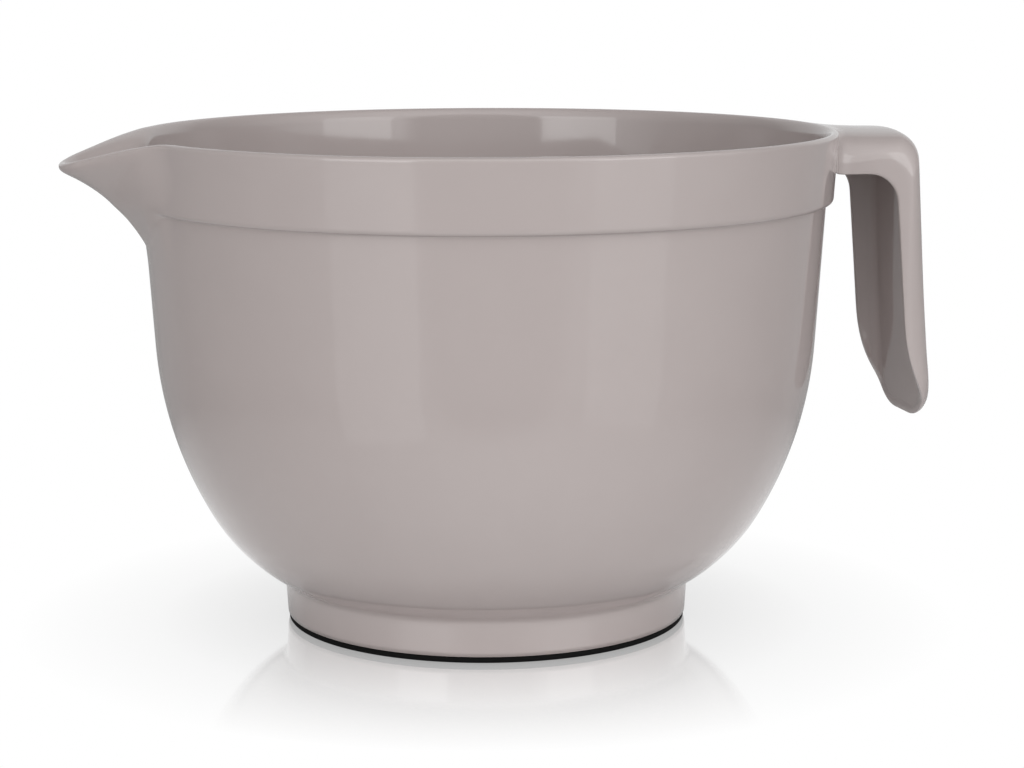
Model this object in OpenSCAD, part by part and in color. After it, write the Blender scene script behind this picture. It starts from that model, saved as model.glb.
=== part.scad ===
// Batter bowl: a deep moulded bowl with a thick rim band, a flared pouring spout,
// a hollow-backed strap handle opposite it and a soft ring under the foot.
// The bowl's axis is Z, the table is at Z = 0, the handle points along +X.

/* [Bowl] */
// Height of the rim above the table
bowl_h = 161.5; // [150:0.5:175]
// Outer radius of the wall at the rim
mouth_r = 112.6; // [106:0.2:120]
// Thickness of the moulded wall
wall_t = 3; // [2:0.25:4]
// Draft of the upright wall and of the foot, in degrees
draft = 3.7; // [2:0.1:5]
// Radius of the belly's upper curve
belly_r = 126; // [115:1:137]
// Radius of the belly's lower curve
base_curve_r = 60.5; // [54:0.5:67]
// Turn at which the lower curve takes over from the upper one, in degrees
curve_change = 30.5; // [26:0.5:35]
// Height of the bowl's underside above the table
floor_h = 7; // [6.5:0.25:9]

/* [Rim band] */
// Height of the band round the rim
band_h = 22.7; // [18:0.5:28]
// Thickness of the band over the wall
band_t = 2.7; // [2:0.1:3.5]
// Rounding of the band's lower edge
band_edge_r = 1.7; // [1:0.1:2]
// Thickness of the rim above the step inside it
rim_t = 3; // [2.75:0.25:4]
// Height to which the wall runs up behind the band
lap_h = 4; // [3:0.5:8]
// Rounding of the rim's inner and outer edges
rim_edge_r = 1.2; // [0.5:0.1:1.2]

/* [Spout] */
// Reach of the spout's tip past the wall
spout_out = 24.9; // [20:0.1:30]
// Outer radius of the spout's lip, seen from above
spout_r = 37; // [33:0.5:41]
// Fall of the lip towards its tip, in degrees
lip_fall = 16; // [10:0.5:20]
// Upright depth of the lip at its tip
lip_depth = 3; // [2:0.2:6]
// Radius of the flare under the lip
flare_r = 53; // [48:0.5:56]
// Slope of the flare where it meets the lip, in degrees
flare_slope = 22; // [18:0.5:26]

/* [Handle] */
// Reach of the handle's lower end past the wall
handle_out = 38.7; // [34:0.1:46]
// Width of the strap
handle_w = 49; // [40:0.5:56]
// Length of the strap from its top to its lower end
handle_len = 97; // [84:1:110]
// Step from the rim down to the crown of the handle
handle_drop = 1.1; // [0.5:0.1:4]
// Outward lean of the upright part, in degrees
handle_lean = 4.6; // [2:0.2:8]
// Thickness of the strap's web under its crown
web_t = 4.5; // [4:0.25:6]
// Thickness of the strap's side flanges
handle_t = 3; // [2:0.25:4]
// Radius of the crown across the strap's outer face
crown_r = 135; // [115:5:200]
// Depth of the side flanges under the bridge
bridge_depth = 14; // [10:0.5:17]
// Depth of the side flanges along the upright part
grip_depth = 11.3; // [9:0.2:14]
// Depth of the side flanges at the lower end
tip_depth = 5.3; // [4.2:0.1:7]
// Outer radius of the bend
bend_r = 10.2; // [8:0.2:14]
// Rounding of the flanges inside the bend
inner_bend_r = 7; // [2:0.5:8]
// Corner radius of the handle's lower end
end_r = 17; // [10:0.5:19]
// Radius of the curve along which the flanges run out
fade_r = 55; // [35:1:75]
// Length of the lower end over which the flanges stay low
tip_len = 8; // [4:0.5:12]

/* [Foot] */
// Outer radius of the foot at its lower edge
foot_r = 66.4; // [61:0.2:72]
// Width of the foot's ring-shaped wall
foot_w = 8.5; // [7:0.25:11]

/* [Non-slip ring] */
// Height of the ring that shows under the foot
ring_h = 2; // [1.2:0.1:3]
// Set-back of the ring's edge from the foot's edge
ring_setback = 0.4; // [0.2:0.1:1]
// Width of the ring's tread
ring_w = 7.6; // [6:0.2:9]
// Rounding of the tread's lower edges
ring_edge_r = 0.5; // [0.2:0.1:0.8]
// Width of the rib that sits in the foot's groove
rib_w = 3.4; // [2:0.2:4]
// Height of that rib
rib_h = 4; // [2:0.25:5]
// Clearance of the rib in its groove
rib_gap = 0.1; // [0.05:0.05:0.2]

/* [Hidden] */
$fn = 180;
overrun = 1;
moulding_colour = "#B1AAA7";
rubber_colour = "#161616";
// How far a corner stands out past the meeting of two tangents, so that an arc lies wholly inside it
corner_share = 1.2;
// Largest part of a wall that its edge rounding takes
edge_limit_share = 0.8;
// Largest part of a width that one of its two corner roundings takes
corner_limit_share = 0.45;
// How far the strap's side view stands over the middle of its crown
crown_gap = 0.2;

// Bowl: an upright wall that runs into two tangent curves and a flat floor
shoulder_h = floor_h + base_curve_r + (belly_r - base_curve_r) * sin(curve_change) - belly_r * sin(draft);
belly_c = [wall_at(shoulder_h) - belly_r * cos(draft), shoulder_h + belly_r * sin(draft)];
base_c = belly_c + (belly_r - base_curve_r) * [cos(curve_change), -sin(curve_change)];

// Rim: the band's lower edge, the step inside it, and the roundings within their walls
band_low = bowl_h - band_h;
step_h = band_low + lap_h;
top_edge_r = min(rim_edge_r, rim_t * corner_limit_share);
step_edge_r = min(band_edge_r, band_t * edge_limit_share);

// Spout: a flare turned about an upright axis, cut by the sloping plane of the lip
spout_reach = mouth_r + spout_out;
spout_axis_r = spout_reach - spout_r;
lip_mid_r = spout_r - wall_t / 2;
lip_root = (pow(mouth_r, 2) - pow(lip_mid_r, 2) + pow(spout_axis_r, 2)) / (2 * spout_axis_r);
tip_h = bowl_h - tan(lip_fall) * (spout_axis_r + lip_mid_r - lip_root);
flare_c = [spout_r + flare_r * sin(flare_slope), tip_h - lip_depth - flare_r * cos(flare_slope)];

// Handle: heights, the leaning outer face, and the centres of its curves
handle_reach = mouth_r + handle_out;
handle_top = bowl_h - handle_drop;
handle_low = handle_top - handle_len;
bridge_low = handle_top - bridge_depth;
handle_root = mouth_r - handle_w / 2;
face_out = [cos(handle_lean), sin(handle_lean)];
face_up = [-sin(handle_lean), cos(handle_lean)];
bend_c = [face_x(handle_top - bend_r, bend_r), handle_top - bend_r];
inner_bend_c = [face_x(bridge_low - inner_bend_r, grip_depth + inner_bend_r), bridge_low - inner_bend_r];
fade_drop = grip_depth - tip_depth;
fade_len = sqrt(pow(fade_r, 2) - pow(fade_r - fade_drop, 2));
fade_turn = asin(fade_len / fade_r);
fade_c = on_face(tip_len + fade_len, grip_depth - fade_r);

// Foot and ring
foot_in_r = foot_r - foot_w;
ring_r = foot_r - ring_setback;
ring_in_r = ring_r - ring_w;
rib_mid_r = foot_r - foot_w / 2;

// Outer radius of the upright wall at a height
function wall_at(h) = mouth_r - tan(draft) * (bowl_h - h);
// Inner radius of the rim at a height above the step inside it
function mouth_at(h) = wall_at(h) + (band_t - rim_t) / cos(draft);
// Point of an arc at an angle
function arc_at(c, r, a) = c + r * [cos(a), sin(a)];
// Corner that stands outside an arc, over its middle
function arc_corner(c, r, a, b) = arc_at(c, r * corner_share / cos((b - a) / 2), (a + b) / 2);
// Point of the handle at a distance up its outer face and a depth under it, seen from the side
function on_face(up, depth) = [handle_reach, handle_low] + up * face_up - depth * face_out;
// Distance from the bowl's axis at a height and a depth under the handle's outer face
function face_x(h, depth) = handle_reach - (depth + (h - handle_low) * face_out[1]) / face_out[0];

// Segment between an arc and its chord, which reaches a little way into the outline that it rounds
module arc_bulge(c, r, a, b) {
    chord_mid = (arc_at(c, r, a) + arc_at(c, r, b)) / 2;
    intersection() {
        translate(c) circle(r);
        polygon([
            arc_at(c, r, a),
            arc_corner(c, r, a, b),
            arc_at(c, r, b),
            arc_at(chord_mid, -overrun, (a + b) / 2)
        ]);
    }
}

// Half section of the bowl's form, filled to the axis and set in by a thickness
module bowl_section(inset, top) {
    upper = belly_r - inset;
    lower = base_curve_r - inset;
    wall_in = inset / cos(draft);
    polygon([
        [0, base_c[1] - lower],
        arc_at(base_c, lower, -90),
        arc_at(base_c, lower, -curve_change),
        arc_at(belly_c, upper, -draft),
        [wall_at(top) - wall_in, top],
        [0, top]
    ]);
    arc_bulge(base_c, lower, -90, -curve_change);
    arc_bulge(belly_c, upper, -curve_change, -draft);
}

// Section of the bowl's hollow, which steps out behind the band and has the rim's inner edge rounded over
module hollow_section() {
    wall_in = wall_t / cos(draft);
    ledge_w = mouth_at(step_h) - wall_at(step_h) + wall_in;
    ledge_c = [wall_at(step_h - ledge_w) - wall_in, step_h - ledge_w] - [overrun, overrun];
    edge_c = [mouth_at(bowl_h - top_edge_r) + top_edge_r / cos(draft), bowl_h - top_edge_r];
    edge_low = arc_at(edge_c, top_edge_r, 180 - draft);
    top = bowl_h + overrun;
    bowl_section(wall_t, step_h);
    polygon([[0, ledge_c[1]], ledge_c, [mouth_at(step_h), step_h], [mouth_at(top), top], [0, top]]);
    difference() {
        polygon([[0, edge_low[1]], edge_low, edge_c, edge_c + [0, top_edge_r + overrun], [0, top]]);
        translate(edge_c) circle(top_edge_r);
    }
}

// Section of the band from a depth inside the wall outwards, with its top rounded or run up past the rim
module band_section(sunk, round_top) {
    over = band_t / cos(draft);
    low_c = [wall_at(band_low + step_edge_r) + over - step_edge_r, band_low + step_edge_r];
    top_c = [wall_at(bowl_h - top_edge_r) + (band_t - top_edge_r) / cos(draft), bowl_h - top_edge_r];
    top = round_top ? bowl_h : bowl_h + overrun;
    top_edge = round_top ? [arc_at(top_c, top_edge_r, -draft), arc_at(top_c, top_edge_r, 90)]
                         : [[wall_at(top) + over, top]];
    polygon(concat(
        [[wall_at(band_low) - sunk, band_low]],
        [arc_at(low_c, step_edge_r, -90), arc_at(low_c, step_edge_r, 0)],
        top_edge,
        [[wall_at(top) - sunk, top]]
    ));
    arc_bulge(low_c, step_edge_r, -90, 0);
    if (round_top) arc_bulge(top_c, top_edge_r, -draft, 90);
}

// The bowl and its band as one filled form, which the spout and the handle are set against
module filled_bowl() {
    rotate_extrude() {
        bowl_section(0, bowl_h + overrun);
        band_section(wall_t, false);
    }
}

// Flare of the spout, filled to its own axis and set in by a thickness
module flare(inset, low, top) {
    translate([-spout_axis_r, 0, 0])
        rotate_extrude()
            difference() {
                translate([0, low]) square([spout_r - inset, top - low]);
                translate(flare_c) circle(flare_r + inset);
            }
}

// The way that the batter takes through the wall into the spout
module throat() {
    flare(wall_t, flare_c[1], bowl_h + overrun);
}

// Everything above the sloping lip
module above_lip() {
    translate([-lip_root, 0, bowl_h])
        rotate([0, -lip_fall, 0])
            translate([-spout_reach, -spout_reach, 0])
                cube([2 * spout_reach, 2 * spout_reach, spout_reach]);
}

// Sets an outline drawn in X and Z upright across the handle's width
module across(width) {
    rotate([90, 0, 0]) linear_extrude(width, center = true) children();
}

// Sets an outline drawn in Y and Z upright along the handle's reach
module along_reach() {
    translate([handle_root - overrun, 0, 0])
        rotate([90, 0, 90])
            linear_extrude(handle_reach - handle_root + 2 * overrun) children();
}

// Side view of the strap with its flanges, with its outer edge just outside the crown
module handle_side() {
    outer_r = bend_r + crown_gap;
    difference() {
        union() {
            polygon([
                [handle_root, handle_top + crown_gap],
                [handle_root, bridge_low],
                arc_at(inner_bend_c, inner_bend_r, 90),
                inner_bend_c,
                arc_at(inner_bend_c, inner_bend_r, handle_lean),
                on_face(tip_len + fade_len, grip_depth),
                on_face(tip_len, tip_depth),
                on_face(-overrun, tip_depth),
                on_face(-overrun, -crown_gap),
                arc_at(bend_c, outer_r, handle_lean),
                arc_at(bend_c, outer_r, 90)
            ]);
            arc_bulge(bend_c, outer_r, handle_lean, 90);
            arc_bulge(fade_c, fade_r, 180 + handle_lean, 180 + handle_lean + fade_turn);
        }
        translate(inner_bend_c) circle(inner_bend_r);
    }
}

// All that lies under the crowned faces of the bridge and of the upright part
module under_crown() {
    intersection() {
        translate([0, 0, handle_top - crown_r])
            rotate([0, 90, 0]) cylinder(2 * handle_reach, crown_r, crown_r);
        translate([handle_reach, 0, handle_low])
            rotate([0, -handle_lean, 0])
                translate([-crown_r, 0, -handle_len])
                    cylinder(3 * handle_len, crown_r, crown_r);
    }
}

// Side view of the channel behind the strap
module channel_side() {
    channel_r = bend_r - web_t;
    channel_low = on_face(-2 * overrun, web_t);
    polygon([
        arc_at(bend_c, channel_r, 90),
        [handle_root - overrun, handle_top - web_t],
        [handle_root - overrun, channel_low[1]],
        channel_low,
        arc_at(bend_c, channel_r, handle_lean)
    ]);
    arc_bulge(bend_c, channel_r, handle_lean, 90);
}

// Front view of the strap, a tongue with a rounded lower end
module handle_front(inset) {
    half_w = handle_w / 2 - inset;
    round_r = min(end_r, handle_w * corner_limit_share) - inset;
    low = handle_low + inset;
    arc_bulge([half_w - round_r, low + round_r], round_r, -90, 0);
    arc_bulge([round_r - half_w, low + round_r], round_r, 180, 270);
    polygon([
        [-half_w, handle_top + overrun],
        [-half_w, low + round_r],
        [round_r - half_w, low],
        [half_w - round_r, low],
        [half_w, low + round_r],
        [half_w, handle_top + overrun]
    ]);
}

// Groove under the foot that holds the ring's rib
module groove_section() {
    half_w = rib_w / 2 + rib_gap;
    translate([rib_mid_r - half_w, ring_h - overrun])
        square([2 * half_w, rib_h + rib_gap + overrun]);
}

module bowl_shell() {
    color(moulding_colour)
        difference() {
            rotate_extrude()
                difference() {
                    bowl_section(0, step_h);
                    hollow_section();
                }
            throat();
        }
}

module rim_band() {
    color(moulding_colour)
        difference() {
            rotate_extrude()
                difference() {
                    band_section(wall_t, true);
                    bowl_section(0, step_h);
                    hollow_section();
                }
            throat();
        }
}

module pouring_spout() {
    color(moulding_colour)
        difference() {
            flare(0, flare_c[1] - wall_t, bowl_h);
            throat();
            above_lip();
            filled_bowl();
        }
}

module handle() {
    color(moulding_colour)
        difference() {
            intersection() {
                across(handle_w) handle_side();
                along_reach() handle_front(0);
                under_crown();
            }
            intersection() {
                across(handle_w) channel_side();
                along_reach() handle_front(handle_t);
            }
            filled_bowl();
        }
}

module foot_ring() {
    foot_top = base_c[1];
    color(moulding_colour)
        rotate_extrude()
            difference() {
                polygon([
                    [foot_in_r, ring_h],
                    [foot_r, ring_h],
                    [foot_r + tan(draft) * (foot_top - ring_h), foot_top],
                    [foot_in_r, foot_top]
                ]);
                bowl_section(0, bowl_h);
                groove_section();
            }
}

module non_slip_ring() {
    edge_out = [ring_r - ring_edge_r, ring_edge_r];
    edge_in = [ring_in_r + ring_edge_r, ring_edge_r];
    color(rubber_colour)
        rotate_extrude() {
            polygon([
                arc_at(edge_in, ring_edge_r, -90),
                arc_at(edge_out, ring_edge_r, -90),
                arc_at(edge_out, ring_edge_r, 0),
                [ring_r, ring_h],
                [rib_mid_r + rib_w / 2, ring_h],
                [rib_mid_r + rib_w / 2, ring_h + rib_h],
                [rib_mid_r - rib_w / 2, ring_h + rib_h],
                [rib_mid_r - rib_w / 2, ring_h],
                [ring_in_r, ring_h],
                arc_at(edge_in, ring_edge_r, 180)
            ]);
            arc_bulge(edge_out, ring_edge_r, -90, 0);
            arc_bulge(edge_in, ring_edge_r, 180, 270);
        }
}

bowl_shell();
rim_band();
pouring_spout();
handle();
foot_ring();
non_slip_ring();
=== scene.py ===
from math import acos, asin, atan2, cos, degrees, hypot, inf, pi, radians, sin, sqrt, tan

import bmesh
import bpy
from mathutils import Euler, Matrix, Vector


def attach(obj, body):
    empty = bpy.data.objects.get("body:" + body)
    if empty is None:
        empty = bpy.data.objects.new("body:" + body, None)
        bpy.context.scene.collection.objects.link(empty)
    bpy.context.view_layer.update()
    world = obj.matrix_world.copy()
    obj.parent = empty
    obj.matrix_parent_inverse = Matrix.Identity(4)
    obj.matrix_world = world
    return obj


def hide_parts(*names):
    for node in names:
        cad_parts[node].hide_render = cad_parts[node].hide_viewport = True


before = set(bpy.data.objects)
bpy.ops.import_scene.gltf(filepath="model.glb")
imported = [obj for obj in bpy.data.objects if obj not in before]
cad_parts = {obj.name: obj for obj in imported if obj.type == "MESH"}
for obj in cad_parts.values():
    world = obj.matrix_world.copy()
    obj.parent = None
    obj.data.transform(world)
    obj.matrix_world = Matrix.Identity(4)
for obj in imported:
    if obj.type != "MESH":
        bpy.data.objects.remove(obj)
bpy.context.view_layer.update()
print("frame loaded:", sorted(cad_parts))

# lengths are in mm and in the CAD frame: Z up the bowl's axis, spout along -X, handle along +X
mm = 0.001
rowGap = 0.01                # points of a section nearer than this are one
seamGap = 0.004              # and so are points of a mesh where a spin closes


def addObject(name, data):
    thing = bpy.data.objects.new(name, data)
    bpy.context.scene.collection.objects.link(thing)
    return thing


def addMesh(name, bm, material):
    mesh = bpy.data.meshes.new(name)
    bm.to_mesh(mesh)
    bm.free()
    mesh.materials.append(material)
    return addObject(name, mesh)


def newPiece(name, bm, material, nodes):
    # the place is in the mesh, the object stays at the origin
    bmesh.ops.scale(bm, vec=(mm, mm, mm), verts=bm.verts)
    for face in bm.faces:
        face.smooth = True
    piece = addMesh(name, bm, material)
    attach(piece, "root")
    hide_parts(*nodes)
    print("piece", name, "with", len(piece.data.polygons), "faces")
    return piece


def smooth(low, high, value):
    t = min(max((value - low) / (high - low), 0.0), 1.0)
    return t * t * (3 - 2 * t)


def mix(a, b, t):
    return a + (b - a) * t


def softMin(a, b, width):
    # the lesser of two, with a rounded change from one to the other
    h = max(width - abs(a - b), 0.0) / width
    return min(a, b) - h * h * width / 4


def evenly(start, end, steps):
    return [mix(start, end, i / steps) for i in range(steps + 1)]


def linePoints(start, end, steps):
    return [(mix(start[0], end[0], t), mix(start[1], end[1], t)) for t in evenly(0, 1, steps)]


def arcPoints(centre, radius, start, end, steps):
    angles = [radians(a) for a in evenly(start, end, steps)]
    return [(centre[0] + radius * cos(a), centre[1] + radius * sin(a)) for a in angles]


# colours and nodes

def linear(hexColour):
    channels = [int(hexColour[i:i + 2], 16) / 255 for i in (1, 3, 5)]
    return [c / 12.92 if c <= 0.04045 else ((c + 0.055) / 1.055) ** 2.4 for c in channels] + [1.0]


def addNode(tree, kind, settings=None, inputs=None, links=None):
    # links go from this node's input to another node's output, as (node, output)
    node = tree.nodes.new(kind)
    for key, value in (settings or {}).items():
        setattr(node, key, value)
    for key, value in (inputs or {}).items():
        node.inputs[key].default_value = value
    for key, (source, output) in (links or {}).items():
        tree.links.new(source.outputs[output], node.inputs[key])
    return node


def newMaterial(name):
    material = bpy.data.materials.new(name)
    material.use_nodes = True
    material.node_tree.nodes.clear()
    return material, material.node_tree


melamineLook = {
    "colour": "#B4AAA8",
    "shade": "#B0A6A4",      # the resin's faint cloudiness
    "cloudSize": 24,         # mm
    "ior": 1.6,
    "gloss": 0.045,          # roughness where the polish is best
    "haze": 0.07,            # and where it is worst
    "hazeSize": 40,          # mm
    "hazeSpan": (0.3, 0.7),  # values of the noise between best and worst
    "peelSize": 5,           # mm, the mould polish's long waves, drawn coarse enough to show
    "peelDepth": 0.004,      # mm
}


def glossyMelamine():
    # compression-moulded melamine: a hard, glassy skin that mirrors soft boxes a little wavily
    look = melamineLook
    material, tree = newMaterial("glossyMelamine")
    place = addNode(tree, "ShaderNodeTexCoord")
    cloud = addNode(tree, "ShaderNodeTexNoise",
                    inputs={"Scale": 1 / (look["cloudSize"] * mm), "Detail": 3.0},
                    links={"Vector": (place, "Object")})
    colour = addNode(tree, "ShaderNodeMix", {"data_type": "RGBA"},
                     {6: linear(look["colour"]), 7: linear(look["shade"])}, {0: (cloud, "Fac")})
    hazeNoise = addNode(tree, "ShaderNodeTexNoise",
                        inputs={"Scale": 1 / (look["hazeSize"] * mm), "Detail": 2.0},
                        links={"Vector": (place, "Object")})
    low, high = look["hazeSpan"]
    rough = addNode(tree, "ShaderNodeMapRange",
                    inputs={"From Min": low, "From Max": high,
                            "To Min": look["gloss"], "To Max": look["haze"]},
                    links={"Value": (hazeNoise, "Fac")})
    peel = addNode(tree, "ShaderNodeTexNoise",
                   inputs={"Scale": 1 / (look["peelSize"] * mm), "Detail": 1.0},
                   links={"Vector": (place, "Object")})
    bump = addNode(tree, "ShaderNodeBump", inputs={"Strength": 1.0, "Distance": look["peelDepth"] * mm},
                   links={"Height": (peel, "Fac")})
    shader = addNode(tree, "ShaderNodeBsdfPrincipled", inputs={"IOR": look["ior"]},
                     links={"Base Color": (colour, 2), "Roughness": (rough, "Result"),
                            "Normal": (bump, "Normal")})
    addNode(tree, "ShaderNodeOutputMaterial", links={"Surface": (shader, "BSDF")})
    return material


rubberLook = {
    "colour": "#050505",
    "dust": "#0A0A0A",
    "grainSize": 0.8,        # mm
    "grainDepth": 0.02,      # mm
    "roughness": 0.85,
    "ior": 1.52,
    "specular": 0.2,
}


def blackRubber():
    # moulded rubber: near black, matte, with a fine grain and a trace of dust
    look = rubberLook
    material, tree = newMaterial("blackRubber")
    place = addNode(tree, "ShaderNodeTexCoord")
    grain = addNode(tree, "ShaderNodeTexNoise",
                    inputs={"Scale": 1 / (look["grainSize"] * mm), "Detail": 3.0},
                    links={"Vector": (place, "Object")})
    colour = addNode(tree, "ShaderNodeMix", {"data_type": "RGBA"},
                     {6: linear(look["colour"]), 7: linear(look["dust"])}, {0: (grain, "Fac")})
    bump = addNode(tree, "ShaderNodeBump", inputs={"Strength": 1.0, "Distance": look["grainDepth"] * mm},
                   links={"Height": (grain, "Fac")})
    shader = addNode(tree, "ShaderNodeBsdfPrincipled",
                     inputs={"Roughness": look["roughness"], "IOR": look["ior"],
                             "Specular IOR Level": look["specular"]},
                     links={"Base Color": (colour, 2), "Normal": (bump, "Normal")})
    addNode(tree, "ShaderNodeOutputMaterial", links={"Surface": (shader, "BSDF")})
    return material


# the bowl's half section, from the middle of the inside floor over the rim to the underside

bowl = {
    "height": 161.5,
    "mouthR": 112.6,         # outer radius of the wall at the rim
    "draft": 3.7,            # degrees
    "wall": 3.0,
    "bellyR": 126.0,
    "bellyC": (-17.593, 100.74),
    "baseR": 60.5,
    "baseC": (38.844, 67.5),
    "curveChange": 30.5,     # degrees, where the base's curve takes over from the belly's
    "closeRows": 124,        # the wall's rows lie closer together above this height
    "bandOver": 2.3,         # the band stands this far over the wall
    "bandLow": 138.8,
    "bandRound": 1.7,        # rounding of the band's lower edge
    "bandRoom": 0.8,         # from the band's last row down to that rounding
    "bandFillet": 0.6,
    "rimWall": 3.6,          # thickness of the rim above the step inside it
    "stepHeights": (139.4, 143.5),
    "rimInside": (2.3, 4.5),           # width and height of the soft inner edge
    "rimRound": 1.2,
    "footR": 66.4,
    "footLow": 2.0,
    "footHigh": 12.0,        # height of the foot's draft
    "footFill": (2.2, 1.6),  # the fillet over the foot: degrees up the bowl, mm down the foot
    "footWall": 8.5,
    "footRound": 0.4,
    "grooveMid": 62.15,
    "grooveHalf": 1.8,
    "grooveTop": 6.1,
}


def wallAt(z):
    return bowl["mouthR"] - tan(radians(bowl["draft"])) * (bowl["height"] - z)


def bowlSection():
    # rows as (part of the section, radius, height)
    b = bowl
    lean = b["draft"]
    top = b["height"]
    inset = b["wall"] / cos(radians(lean))
    over = b["bandOver"] / cos(radians(lean))
    baseC, baseR = b["baseC"], b["baseR"]
    rows = []

    def add(part, points):
        for r, z in points:
            if not rows or hypot(r - rows[-1][1], z - rows[-1][2]) > rowGap:
                rows.append((part, r, z))

    # inside, from the floor up
    innerBase = baseR - b["wall"]
    innerBelly = b["bellyR"] - b["wall"]
    add("inner", linePoints((0, baseC[1] - innerBase), (baseC[0], baseC[1] - innerBase), 8))
    add("inner", arcPoints(baseC, innerBase, -90, -b["curveChange"], 22))
    add("inner", arcPoints(b["bellyC"], innerBelly, -b["curveChange"], -lean, 16))
    shoulder = rows[-1][2]
    close = b["closeRows"]
    add("inner", [(wallAt(z) - inset, z) for z in evenly(shoulder, close, 10)])
    softWide, softHigh = b["rimInside"]
    softLow = top - softHigh
    stepLow, stepTop = b["stepHeights"]
    heights = evenly(close, stepLow, 8)[:-1] + evenly(stepLow, stepTop, 10)[:-1]
    heights += evenly(stepTop, softLow, 16)
    thin = (b["rimWall"] - b["bandOver"]) / cos(radians(lean))
    add("inner", [(wallAt(z) - mix(inset, thin, smooth(stepLow, stepTop, z)), z) for z in heights])

    # over the rim
    rimRound = b["rimRound"]
    innerC = (wallAt(softLow) - thin + softWide, softLow)
    outerC = (wallAt(top - rimRound) + over - rimRound, top - rimRound)
    softEdge = arcPoints(innerC, softWide, 180, 90, 9)
    add("rim", [(r, mix(softLow, top, (z - softLow) / softWide)) for r, z in softEdge])
    add("rim", arcPoints(outerC, rimRound, 90, 0, 7))

    # band, its lower edge and the wall under it
    lowRound = b["bandRound"]
    lowC = (wallAt(b["bandLow"] + lowRound) + over - lowRound, b["bandLow"] + lowRound)
    add("outer", [(wallAt(z) + over, z) for z in evenly(outerC[1], lowC[1] + b["bandRoom"], 20)[1:]])
    fillet = b["bandFillet"]
    filletC = (wallAt(b["bandLow"] - fillet) + fillet, b["bandLow"] - fillet)
    add("ledge", arcPoints(lowC, lowRound, 0, -90, 7))
    add("ledge", arcPoints(filletC, fillet, 90, 180, 4))
    heights = evenly(b["bandLow"] - 2 * fillet, close, 14) + evenly(close, shoulder, 18)[1:-1]
    add("outer", [(wallAt(z), z) for z in heights])

    # belly, and the fillet down to the foot
    footDraft = tan(radians(lean))
    footTopR = b["footR"] + footDraft * b["footHigh"]
    cornerTurn = degrees(asin((footTopR - baseC[0]) / baseR)) - 90
    fillUp, fillDown = b["footFill"]
    add("outer", arcPoints(b["bellyC"], b["bellyR"], -lean, -b["curveChange"], 20))
    add("outer", arcPoints(baseC, baseR, -b["curveChange"], cornerTurn + fillUp, 20))
    corner = arcPoints(baseC, baseR, cornerTurn, cornerTurn, 1)[0]
    fillStart = rows[-1][1:]
    fillEnd = (corner[0] - footDraft * fillDown, corner[1] - fillDown)
    for t in evenly(0, 1, 6)[1:-1]:
        legs = [(mix(fillStart[k], corner[k], t), mix(corner[k], fillEnd[k], t)) for k in (0, 1)]
        add("outer", [[mix(*leg, t) for leg in legs]])

    # foot, its groove and the underside
    low = b["footLow"]
    edge = b["footRound"]
    footIn = b["footR"] - b["footWall"]
    grooveOut = b["grooveMid"] + b["grooveHalf"]
    grooveIn = b["grooveMid"] - b["grooveHalf"]
    baseHeight = baseC[1] - sqrt(baseR ** 2 - (footIn - baseC[0]) ** 2)
    add("outer", linePoints(fillEnd, (b["footR"] + footDraft * edge, low + edge), 8))
    add("outer", arcPoints((b["footR"] - edge, low + edge), edge, 0, -90, 4))
    add("outer", linePoints((grooveOut, low), (grooveOut, b["grooveTop"]), 3))
    add("outer", linePoints((grooveIn, b["grooveTop"]), (grooveIn, low), 3))
    add("outer", linePoints((footIn + edge, low), (footIn, low + edge), 2))
    add("outer", linePoints((footIn, low + edge), (footIn, baseHeight), 4))
    innerTurn = degrees(asin((footIn - baseC[0]) / baseR)) - 90
    add("outer", arcPoints(baseC, baseR, innerTurn, -90, 5))
    add("outer", linePoints((baseC[0], baseC[1] - baseR), (0, baseC[1] - baseR), 6))
    return rows


# the spout is drawn out of the wall: a flared nose with straight flanks that the wall melts into

spout = {
    "axisR": 100.5,          # the flare is measured from here, out from the bowl's axis
    "lipR": 37.0,
    "flareC": (56.85, 101.07),
    "flareR": 53.0,
    "wall": 3.0,
    "capSoft": 3.0,          # rounding where the flare reaches the lip
    "halfWidth": (9.0, 41.5),          # at the stem and where the flanks meet the rim
    "widthFrom": 123,                  # the flanks part above this height
    "innerStep": 14.0,                 # the insides of the flanks meet the wall this much closer together
    "noseShare": 0.53,                 # radius of the nose, as a share of the half width
    "cornerSoft": 0.25,                # rounding where a flank ends, as a share of the half width
    "outerMelt": (2.0, 11.0, 5.0),     # at the stem, half way up and at the lip
    "meltHeights": (122, 144),         # from the stem's melt to that half way up
    "lipMelt": (14, 1),                # and from there to the lip's, in mm under the rim
    "meltFull": 8.0,                   # once the nose stands out this far
    "meltLeast": 0.04,                 # share of the melt that is always left
    "innerMelt": 7.0,
    "stemTop": 124,          # the stem runs out into the wall under this height
    "stemFade": 0.5,         # by this much for each mm down
    "lowest": 96,            # the wall is left as it is under this height
    "lipFall": 16,           # degrees
    "lipRoot": 107.1,        # the lip falls from here on, out from the bowl's axis
    "lipSoft": 1.6,
    "stretchFrom": 132,      # heights above this follow the falling lip
    "halfAngle": 32,         # degrees, the stretch of wall with fine columns
    "fineTurn": 0.4,         # degrees
    "coarseTurn": 1.5,
    "ledgeSpread": (137.8, 141.1),     # heights that the ledge's rows spread over in the spout
    "ledgeTurns": (13.5, 19.0),        # degrees from the spout's middle, where the ledge runs out
    "bandFade": (118, 154),  # heights over which the band melts into the spout
    "searchReach": 45,       # the melted wall is looked for within this reach
    "searchSteps": 28,
}


def lipHeight(reach):
    past = reach - spout["lipRoot"]
    past = (past + sqrt(past * past + spout["lipSoft"] ** 2)) / 2
    return bowl["height"] - tan(radians(spout["lipFall"])) * past


tipHeight = lipHeight(spout["axisR"] + spout["lipR"])


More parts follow.
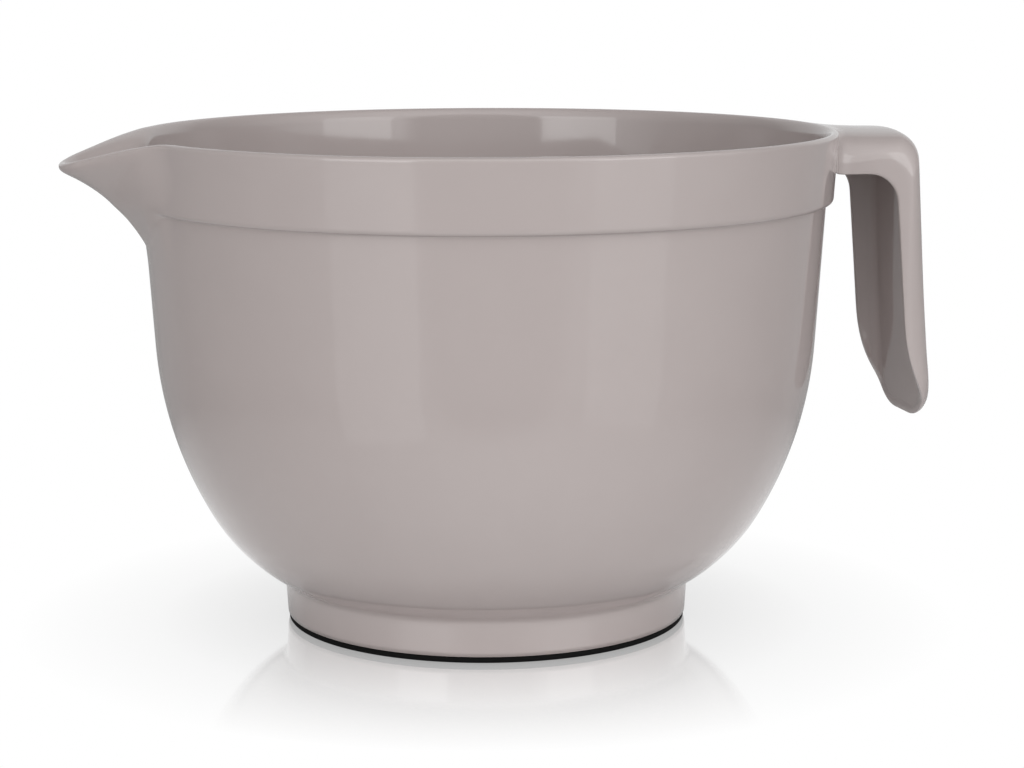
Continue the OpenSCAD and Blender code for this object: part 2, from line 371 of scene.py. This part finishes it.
def fallen(z, lip):
    # a height, drawn down with a lip that ends lower than the rim
    start = spout["stretchFrom"]
    if z <= start:
        return z
    return start + (z - start) * (lip - start) / (bowl["height"] - start)


def tipReach(z, inset):
    # distance of the nose from the bowl's axis
    fade = spout["stemFade"] * max(spout["stemTop"] - z, 0.0)
    up = max(fallen(z, tipHeight) - spout["flareC"][1], 0.0)
    flare = spout["flareC"][0] - sqrt(max((spout["flareR"] + inset) ** 2 - up * up, 0.0))
    return spout["axisR"] + softMin(flare, spout["lipR"] - inset, spout["capSoft"]) - fade


def flanksAt(rowR, z, inset):
    # the outline at a height: half width, the nose's radius and middle, and the way the flank faces
    stemHalf, lipHalf = spout["halfWidth"]
    part = max(z - spout["widthFrom"], 0.0) / (bowl["height"] - spout["widthFrom"])
    half = max(lipHalf * sqrt(part) - (spout["innerStep"] if inset else 0.0), stemHalf)
    nose = spout["noseShare"] * half
    mid = tipReach(z, inset) - nose
    corner = sqrt(rowR * rowR - half * half) - mid
    return half, nose, mid, atan2(half, corner) - acos(nose / hypot(half, corner))


def reachAt(rowR, z, turn, inset, melt):
    # distance from the bowl's axis at which the wall and the spout, melted together, are met
    half, nose, mid, facing = flanksAt(rowR, z, inset)
    melt *= max(smooth(0, spout["meltFull"], mid + nose - rowR), spout["meltLeast"])
    low, high = rowR, rowR + spout["searchReach"]
    for _ in range(spout["searchSteps"]):
        r = (low + high) / 2
        ahead, aside = r * cos(turn) - mid, r * abs(sin(turn))
        if atan2(aside, ahead) < facing:
            fromSpout = hypot(ahead, aside) - nose
        else:
            fromSpout = ahead * cos(facing) + aside * sin(facing) - nose
        fromFlank = -softMin(-fromSpout, half - aside, spout["cornerSoft"] * half)
        if softMin(r - rowR, fromFlank, melt) < 0:
            low = r
        else:
            high = r
    return (low + high) / 2


def insideAt(rowR, z, turn):
    return reachAt(rowR, z, turn, spout["wall"], spout["innerMelt"])


def outsideAt(rowR, z, turn):
    stem, flank, lip = spout["outerMelt"]
    low, high = (bowl["height"] - under for under in spout["lipMelt"])
    melt = mix(mix(stem, flank, smooth(*spout["meltHeights"], z)), lip, smooth(low, high, z))
    return reachAt(rowR, z, turn, 0, melt)


def drawSpout(bm, rows, rowOf):
    rim = [row for row in rows if row[0] == "rim"]
    rimIn, rimOut = rim[0][1], rim[-1][1]
    ledge = [i for i, row in enumerate(rows) if row[0] == "ledge"]
    over = bowl["bandOver"] / cos(radians(bowl["draft"]))
    widest = radians(spout["halfAngle"]) + 0.001     # takes in the last fine column
    lips = {}                                        # the lip's height in each column
    for vert in bm.verts:
        turn = atan2(vert.co.y, -vert.co.x)
        part, rowR, z = rows[vert[rowOf]]
        if abs(turn) > widest or z < spout["lowest"]:
            continue
        column = round(turn, 5)
        if column not in lips:
            top = bowl["height"]
            middle = (outsideAt(rimOut, top, turn) + insideAt(rimIn, top, turn)) / 2
            lips[column] = lipHeight(middle * cos(turn))
        plain = smooth(*spout["ledgeTurns"], abs(degrees(turn)))     # share of the plain band
        if part == "ledge":
            low, high = spout["ledgeSpread"]
            spread = (vert[rowOf] - ledge[0] + 1) / (len(ledge) + 1)
            z = mix(mix(high, low, spread), z, plain)
        if part == "rim":
            r = mix(insideAt(rimIn, z, turn), outsideAt(rimOut, z, turn), (rowR - rimIn) / (rimOut - rimIn))
        elif part == "inner":
            r = insideAt(rowR, z, turn)
        else:
            melted = wallAt(z) + over * smooth(*spout["bandFade"], z)
            r = outsideAt(mix(melted, rowR, plain), z, turn)
        vert.co = (-r * cos(turn), r * sin(turn), fallen(z, lips[column]))


def mouldBowl(material):
    rows = bowlSection()
    bm = bmesh.new()
    rowOf = bm.verts.layers.int.new("row")
    half = radians(spout["halfAngle"])
    sweeps = ((pi - half, 2 * half, spout["fineTurn"]),              # the spout's side
              (pi + half, 2 * pi - 2 * half, spout["coarseTurn"]))
    for start, sweep, turn in sweeps:
        section = []
        for i, (_, r, z) in enumerate(rows):
            vert = bm.verts.new((r * cos(start), r * sin(start), z))
            vert[rowOf] = i
            section.append(vert)
        wire = [bm.edges.new(pair) for pair in zip(section, section[1:])]
        bmesh.ops.spin(bm, geom=section + wire, angle=sweep, steps=round(degrees(sweep) / turn),
                       axis=(0, 0, 1), cent=(0, 0, 0))
    bmesh.ops.remove_doubles(bm, verts=bm.verts, dist=seamGap)
    drawSpout(bm, rows, rowOf)
    bmesh.ops.recalc_face_normals(bm, faces=bm.faces)
    newPiece("mouldedBowl", bm, material,
             ("bowl_shell", "rim_band", "pouring_spout", "foot_ring"))


# the strap handle: a crowned tongue with flanges, bent down from a bridge

handle = {
    "top": 160.4,
    "rootTop": 161.45,       # the bridge leaves the rim almost level with it
    "tip": (151.3, 63.4),
    "lean": 4.6,             # degrees
    "halfW": 24.5,
    "endR": 17.0,            # rounding of the end's corners, seen from the front
    "crownR": 100.0,
    "bendC": (136.11, 152.4),
    "bendR": 8.0,
    "edgeR": 9.0,            # rounding between face and flange
    "edgeRoom": (0.3, 0.05),           # it stops this far from the flange's free edge, and its least depth
    "bridgeLow": 146.4,
    "innerC": (124.03, 136.4),
    "innerR": 10.0,
    "grip": 11.3,            # depth of the flanges
    "tipDepth": 5.3,         # and of what is left of them at the tip
    "tipLen": 8.0,           # over this length
    "fadeR": 55.0,           # curve from there to the full depth
    "freeFrom": 25.0,        # past tipLen and this, the free edge's rows spread up to the inner bend
    "flange": (3.0, 1.6),    # thickness of the flanges at the strap and at their free edge
    "web": (4.9, 4.5),       # thickness of the strap at the tip and above it
    "webReach": (4, 34),     # from one to the other, up from the tip
    "channelR": 3.0,         # rounding inside the channel
    "bandR": 114.5,
    "sunk": 2.4,             # the root goes this far into the band
    "rootFillet": 4.0,
    "rootLevel": (5.0, 0.85),          # reach of the level part beside the rim, and its share
    "rootDrop": -0.2,        # share of the fillet that the bridge's underside drops by
    "columns": 12,
    "bridgeRows": (-0.6, 0.2, 0.8, 1.6, 2.6, 4.2, 7, 10.5, 14, 17, 20),    # out from the band
    "edgeTurns": (25, 50, 75),         # degrees
    "flangeRows": (0.0, 0.3, 0.6, 0.86, 1.0),
    "rounding": 2,           # subdivisions
}


def handleStations():
    # one station per row: (kind, value), from the root to the end
    h = handle
    lean = radians(h["lean"])
    length = (h["bendC"][1] + h["bendR"] * sin(lean) - h["tip"][1]) / cos(lean)
    bridge = [("bridge", s) for s in (-h["sunk"], *h["bridgeRows"])]
    bend = [("bend", a) for a in evenly(90, h["lean"], 9)[1:-1]]
    upright = [("upright", up) for up in evenly(length, h["endR"], 22)]
    end = [("end", a) for a in evenly(90, 0, 7)[1:]]
    return bridge + bend + upright + end, length


def fadeDepth(up):
    # depth of the flange's free edge at a distance up from the tip
    h = handle
    run = sqrt(h["fadeR"] ** 2 - (h["fadeR"] - h["grip"] + h["tipDepth"]) ** 2)
    before = min(max(h["tipLen"] + run - up, 0.0), run)
    return h["grip"] - h["fadeR"] + sqrt(h["fadeR"] ** 2 - before ** 2)


def onFace(up, depth):
    lean = radians(handle["lean"])
    x, z = handle["tip"]
    return (x - up * sin(lean) - depth * cos(lean), z + up * cos(lean) - depth * sin(lean))


def rootGrowth(x, y):
    # how far the root's fillet stands out at a place
    gap = x - sqrt(handle["bandR"] ** 2 - y * y)
    fillet = handle["rootFillet"]
    left = min(max(fillet - gap, 0.0), fillet)
    return fillet - sqrt(fillet ** 2 - left ** 2)


def upAt(station, inset):
    # distance up the outer face from the tip; the bridge and the bend lie past the upright part
    kind, value = station
    if kind == "end":
        return handle["endR"] - (handle["endR"] - inset) * cos(radians(value))
    return value if kind == "upright" else inf


def facePoint(station, y, up):
    # a point on the crown line, in X and Z
    h = handle
    kind, value = station
    if kind == "bridge":
        start = sqrt(h["bandR"] ** 2 - y * y)
        part = value / (h["bendC"][0] - h["bandR"])
        return (mix(start, h["bendC"][0], part), mix(h["top"], h["rootTop"], (1 - max(part, 0.0)) ** 2))
    if kind == "bend":
        turn = radians(value)
        return (h["bendC"][0] + h["bendR"] * cos(turn), h["bendC"][1] + h["bendR"] * sin(turn))
    return onFace(up, 0)


def freePoint(station, y, length, up):
    # the flange's free edge beside a station, in X and Z
    h = handle
    kind, value = station
    lean = radians(h["lean"])
    if kind == "bridge":
        start = sqrt(h["bandR"] ** 2 - y * y)
        x = start + value * (h["innerC"][0] - start) / (h["bendC"][0] - h["bandR"])
        return (x, h["bridgeLow"] - h["rootDrop"] * rootGrowth(x, min(abs(y), h["halfW"])))
    if kind == "bend":
        turn = radians(value)
        return (h["innerC"][0] + h["innerR"] * cos(turn), h["innerC"][1] + h["innerR"] * sin(turn))
    straight = h["tipLen"] + h["freeFrom"]
    if up > straight:
        bendEnd = h["innerC"][1] + h["innerR"] * sin(lean)
        innerUp = (bendEnd - h["tip"][1] + h["grip"] * sin(lean)) / cos(lean)
        up = straight + (up - straight) * (innerUp - straight) / (length - straight)
    return onFace(up, fadeDepth(up))


def strapPoint(station, y, depth, length, up):
    # a point under the crown line, at a depth on the way to the flange's free edge
    face = facePoint(station, y, up)
    free = freePoint(station, y, length, up)
    part = depth / hypot(free[0] - face[0], free[1] - face[1])
    return (mix(face[0], free[0], part), mix(face[1], free[1], part))


def rootLevel(station, side):
    # how far the crown's fall is taken out beside the rim, on the outer sheet
    kind, value = station
    reach, share = handle["rootLevel"]
    if kind != "bridge" or side > 0:
        return 0.0
    return share * (1 - smooth(0, reach, value))


def faceDepth(up, y):
    return handle["crownR"] - sqrt(handle["crownR"] ** 2 - y * y)


def channelDepth(up, y):
    return mix(*handle["web"], smooth(*handle["webReach"], up))


def layStrap(bm, side, taper, edgeR, depthAt):
    # a grid along the strap, rolled over at its sides and its end into the flanges; gives its open edges
    h = handle
    stations, length = handleStations()
    before = set(bm.edges)
    grid = bmesh.ops.create_grid(bm, x_segments=h["columns"], y_segments=len(stations) - 1, size=1)["verts"]
    lines = sorted({round(v.co.y, 5) for v in grid})
    half = h["halfW"] - side - edgeR
    cornerR = h["endR"] - side - edgeR
    rolled = {}
    root = set()
    for vert in grid:
        share, row = vert.co.x, lines.index(round(vert.co.y, 5))
        station = stations[row]
        kind, value = station
        atSide, atEnd = abs(share) > 0.999, row == len(stations) - 1
        outY, down = (1 if share > 0 else -1) * atSide, float(atEnd and not atSide)
        y = share * half
        if kind == "end":
            y = share * (half - cornerR + cornerR * sin(radians(value)))
            if atSide:
                outY, down = outY * sin(radians(value)), cos(radians(value))
        up = upAt(station, side + edgeR)
        x, z = strapPoint(station, y, depthAt(up, y) * (1 - rootLevel(station, side)), length, up)
        vert.co = (x, y, z)
        if row == 0:
            root.add(vert)
        if atSide or atEnd:
            rolled[vert] = (station, up, y, outY, down)

    # round the edge first, then go down the flange
    edges = [e for e in bm.edges if e not in before and e.is_boundary and not root.issuperset(e.verts)]
    freeGap, leastDepth = h["edgeRoom"]
    for kind, value in [("round", a) for a in h["edgeTurns"]] + [("flange", q) for q in h["flangeRows"]]:
        made = bmesh.ops.extrude_edge_only(bm, edges=edges)["geom"]
        edges = [g for g in made if isinstance(g, bmesh.types.BMEdge)]
        moved = {}
        for vert in (g for g in made if isinstance(g, bmesh.types.BMVert)):
            source = next(e.other_vert(vert) for e in vert.link_edges if e.other_vert(vert) in rolled)
            station, up, y, outY, down = moved[vert] = rolled[source]
            turn = radians(value) if kind == "round" else pi / 2
            spread = edgeR * sin(turn) + (taper * value if kind == "flange" else 0)
            low = up - down * spread
            depth = depthAt(up, y)
            levelled = rootLevel(station, side)
            room = fadeDepth(low) - depth - freeGap if station[0] in ("upright", "end") else edgeR
            newY = y + outY * spread
            rolledDepth = depth + min(edgeR, max(room, leastDepth)) * (1 - cos(turn))
            x, z = strapPoint(station, newY, rolledDepth * (1 - levelled * cos(turn)), length, low)
            if kind == "flange":
                freeX, freeZ = freePoint(station, newY, length, low)
                x, z = mix(x, freeX, value), mix(z, freeZ, value)
            if station[0] == "bridge" and side == 0:
                newY += outY * rootGrowth(x, abs(newY)) * sin(turn)
            vert.co = (x, newY, z)
        rolled = moved
    return [e for e in bm.edges if e not in before and e.is_boundary]


def bendHandle(material):
    bm = bmesh.new()
    thick, thin = handle["flange"]
    outerRim = layStrap(bm, 0, 0, handle["edgeR"], faceDepth)
    innerRim = layStrap(bm, thick, thick - thin, handle["channelR"], channelDepth)
    bmesh.ops.bridge_loops(bm, edges=outerRim + innerRim)
    bmesh.ops.recalc_face_normals(bm, faces=bm.faces)
    piece = newPiece("strapHandle", bm, material, ("handle",))
    rounding = piece.modifiers.new("rounding", "SUBSURF")
    rounding.levels = rounding.render_levels = handle["rounding"]


# the soft ring under the foot: a tread that the bowl stands on and a rib in the foot's groove

ring = {
    "outR": 66.0,
    "width": 7.6,
    "height": 2.0,
    "round": 0.5,
    "ribMid": 62.15,
    "ribHalf": 1.7,
    "ribTop": 6.0,
    "steps": 180,
}


def spinRing(material):
    g = ring
    inR = g["outR"] - g["width"]
    ribIn, ribOut = g["ribMid"] - g["ribHalf"], g["ribMid"] + g["ribHalf"]
    edge = g["round"]
    outline = linePoints((inR + edge, 0), (g["outR"] - edge, 0), 3)
    outline += arcPoints((g["outR"] - edge, edge), edge, -90, 0, 4)[1:]
    outline += [(g["outR"], g["height"]), (ribOut, g["height"]), (ribOut, g["ribTop"])]
    outline += [(ribIn, g["ribTop"]), (ribIn, g["height"]), (inR, g["height"])]
    outline += arcPoints((inR + edge, edge), edge, 180, 270, 4)[:-1]
    bm = bmesh.new()
    verts = [bm.verts.new((r, 0, z)) for r, z in outline]
    wire = [bm.edges.new(pair) for pair in zip(verts, verts[1:] + verts[:1])]
    bmesh.ops.spin(bm, geom=verts + wire, angle=2 * pi, steps=g["steps"], axis=(0, 0, 1), cent=(0, 0, 0),
                   use_merge=True)
    bmesh.ops.remove_doubles(bm, verts=bm.verts, dist=seamGap)
    bmesh.ops.recalc_face_normals(bm, faces=bm.faces)
    newPiece("rubberRing", bm, material, ("non_slip_ring",))


# floor, light and camera

floorLook = {
    "size": 4000,
    "colour": "#F4F4F4",
    "plainReach": (66, 110),     # mm from the bowl's axis
    "plain": (0.78, 1.0),        # share of plain white over that reach
    "paintedGlowReach": (66, 95, 130, 300),
    "gloss": (0.2, 1.0, 0.2),    # painted glow of that white in the bowl's gloss: dim at the foot as painted shade, bright in front of it as painted light, dim far off
    "glossMirror": 0.26,         # share of mirror in that gloss
    "mirrorReach": (66, 156),
    "mirror": (0.55, 0.0),
    "roughness": 0.06,
}


def whiteFloor():
    # white acrylic sheet: a faint mirror of the foot that dies away, and plain white farther off; in the
    # bowl's gloss it glows with painted light in a ring in front of the foot and is dimmed by painted shade
    # next to the foot
    look = floorLook
    material, tree = newMaterial("whiteAcrylic")
    place = addNode(tree, "ShaderNodeTexCoord")
    away = addNode(tree, "ShaderNodeVectorMath", {"operation": "LENGTH"}, links={0: (place, "Object")})
    shares = {}
    for name, reach, ends in (("plain", look["plainReach"], look["plain"]),
                              ("mirror", look["mirrorReach"], look["mirror"]),
                              ("gloss", look["paintedGlowReach"][:2], look["gloss"][:2]),
                              ("paintedGlowFade", look["paintedGlowReach"][2:], (0.0, 1.0))):
        shares[name] = addNode(tree, "ShaderNodeMapRange",
                               inputs={"From Min": reach[0] * mm, "From Max": reach[1] * mm,
                                       "To Min": ends[0], "To Max": ends[1]},
                               links={"Value": (away, "Value")})
    # painted glow for the bowl's gloss: dim by the foot, bright in front of it, dim far off
    paintedGlowInGloss = addNode(tree, "ShaderNodeMapRange", inputs={"To Max": look["gloss"][2]},
                      links={"Value": (shares["paintedGlowFade"], "Result"),
                             "To Min": (shares["gloss"], "Result")})
    # plain white to the camera; in the bowl's gloss the white glows at a painted strength, dim as painted
    # shade by the foot and bright as painted light in front of it
    path = addNode(tree, "ShaderNodeLightPath")
    seen = addNode(tree, "ShaderNodeMath", {"operation": "MAXIMUM"},
                   links={0: (path, "Is Camera Ray"), 1: (path, "Is Glossy Ray")})
    white = addNode(tree, "ShaderNodeMath", {"operation": "MULTIPLY"},
                    links={0: (shares["plain"], "Result"), 1: (seen, "Value")})
    acrylic = addNode(tree, "ShaderNodeBsdfDiffuse", inputs={"Color": linear(look["colour"])})
    strength = addNode(tree, "ShaderNodeMapRange", inputs={"To Max": 1.0},
                       links={"Value": (path, "Is Camera Ray"), "To Min": (paintedGlowInGloss, "Result")})
    glow = addNode(tree, "ShaderNodeEmission", inputs={"Color": (1, 1, 1, 1)},
                   links={"Strength": (strength, "Result")})
    sheet = addNode(tree, "ShaderNodeMixShader",
                    links={0: (white, "Value"), 1: (acrylic, "BSDF"), 2: (glow, "Emission")})
    mirror = addNode(tree, "ShaderNodeBsdfAnisotropic",
                     inputs={"Color": (1, 1, 1, 1), "Roughness": look["roughness"]})
    polish = addNode(tree, "ShaderNodeMapRange", inputs={"To Min": look["glossMirror"]},
                     links={"Value": (path, "Is Camera Ray"), "To Max": (shares["mirror"], "Result")})
    both = addNode(tree, "ShaderNodeMixShader",
                   links={0: (polish, "Result"), 1: (sheet, "Shader"), 2: (mirror, "BSDF")})
    addNode(tree, "ShaderNodeOutputMaterial", links={"Surface": (both, "Shader")})
    bm = bmesh.new()
    bmesh.ops.create_grid(bm, x_segments=1, y_segments=1, size=look["size"] * mm)
    addMesh("acrylicFloor", bm, material)


# dots are cosines of the angle from the middle of an area, from its edge to its full strength
studio = {
    "front": 1.47,           # strength of the white room on the camera's side
    "sides": 0.28,
    "back": 0.8,
    "tilt": 0,               # degrees, the middle of the bright side stands this high
    "swing": 14,             # degrees, and this far to the camera's right
    "frontDots": (-0.05, 0.85),
    "backDots": (-0.5, -0.85),         # from the middle of the front
    "backInGloss": 0.75,
    "cameraInGloss": 0.35,   # the room behind the camera, between the boxes
    "cameraDots": (0.88, 0.94),
    "cameraMiddle": (4, 6),            # degrees to the right and up
    # name, degrees round the bowl and up, distance, size, power
    "boxes": [
        ("leftBox", -35, 11, 1500, (760, 700), 2.2),
        ("rightBox", 48.2, 11, 4000, (1880, 1870), 13),
    ],
    "aim": 90,               # height that the boxes face
}


def fromCamera(turn, rise):
    # a direction out from the bowl, in degrees to the right of the camera's side and up
    turn, rise = radians(turn + photo["turn"]), radians(rise)
    return Vector((sin(turn) * cos(rise), -cos(turn) * cos(rise), sin(rise)))


def lightStudio():
    world = bpy.data.worlds.new("whiteRoom")
    world.use_nodes = True
    tree = world.node_tree
    tree.nodes.clear()
    place = addNode(tree, "ShaderNodeTexCoord")
    areas = []
    for middle, dots in (((studio["swing"], studio["tilt"]), studio["frontDots"]),
                         ((0, 0), studio["backDots"]),
                         (studio["cameraMiddle"], studio["cameraDots"])):
        dot = addNode(tree, "ShaderNodeVectorMath", {"operation": "DOT_PRODUCT"}, {1: fromCamera(*middle)},
                      {0: (place, "Generated")})
        areas.append(addNode(tree, "ShaderNodeMapRange", {"interpolation_type": "SMOOTHSTEP"},
                             {"From Min": dots[0], "From Max": dots[1]}, {"Value": (dot, "Value")}))
    front, backdrop, behindCamera = areas
    front.inputs["To Min"].default_value = studio["sides"]
    front.inputs["To Max"].default_value = studio["front"]
    path = addNode(tree, "ShaderNodeLightPath")
    gloss = addNode(tree, "ShaderNodeMath", {"operation": "MAXIMUM"},
                    links={0: (path, "Is Glossy Ray"), 1: (path, "Is Transmission Ray")})
    backShown, cameraShown = (addNode(tree, "ShaderNodeMath", {"operation": "MULTIPLY"},
                                      links={0: (gloss, "Value"), 1: (area, "Result")})
                              for area in (backdrop, behindCamera))
    # each layer covers the ones before it: the backdrop is plain white to the camera, dimmer in the gloss
    strength = (front, "Result")
    for where, level in (((backdrop, "Result"), studio["back"]),
                         ((backShown, "Value"), studio["backInGloss"]),
                         ((cameraShown, "Value"), studio["cameraInGloss"]),
                         ((path, "Is Camera Ray"), 1.0)):
        layer = addNode(tree, "ShaderNodeMapRange", inputs={"To Max": level},
                        links={"Value": where, "To Min": strength})
        strength = (layer, "Result")
    room = addNode(tree, "ShaderNodeBackground", inputs={"Color": (1, 1, 1, 1)},
                   links={"Strength": strength})
    addNode(tree, "ShaderNodeOutputWorld", links={"Surface": (room, "Background")})
    bpy.context.scene.world = world

    aim = Vector((0, 0, studio["aim"] * mm))
    for name, turn, rise, distance, size, power in studio["boxes"]:
        lamp = bpy.data.lights.new(name, "AREA")
        lamp.shape = "RECTANGLE"
        lamp.size, lamp.size_y = (s * mm for s in size)
        lamp.energy = power
        box = addObject(name, lamp)
        out = fromCamera(turn, rise)
        box.location = aim + out * distance * mm
        box.rotation_euler = out.to_track_quat("Z", "Y").to_euler()


photo = {
    "lens": 91.56,
    "sensor": 36.0,
    "place": (-168.68, -835.53, 221.22),
    "pitch": 80.41,          # degrees
    "turn": -12.0,
    "roll": -0.115,
}


def placeCamera():
    lens = bpy.data.cameras.new("photoCamera")
    lens.lens = photo["lens"]
    lens.sensor_width = photo["sensor"]
    lens.sensor_fit = "HORIZONTAL"
    camera = addObject("photoCamera", lens)
    camera.location = Vector(photo["place"]) * mm
    aim = Euler((radians(photo["pitch"]), 0, radians(photo["turn"]))).to_matrix()
    camera.rotation_euler = (aim @ Matrix.Rotation(radians(photo["roll"]), 3, "Z")).to_euler()
    bpy.context.scene.camera = camera


melamine = glossyMelamine()
mouldBowl(melamine)
bendHandle(melamine)
spinRing(blackRubber())
whiteFloor()
lightStudio()
placeCamera()
bpy.context.scene.view_settings.view_transform = "Standard"
print("floor, light and camera are set")
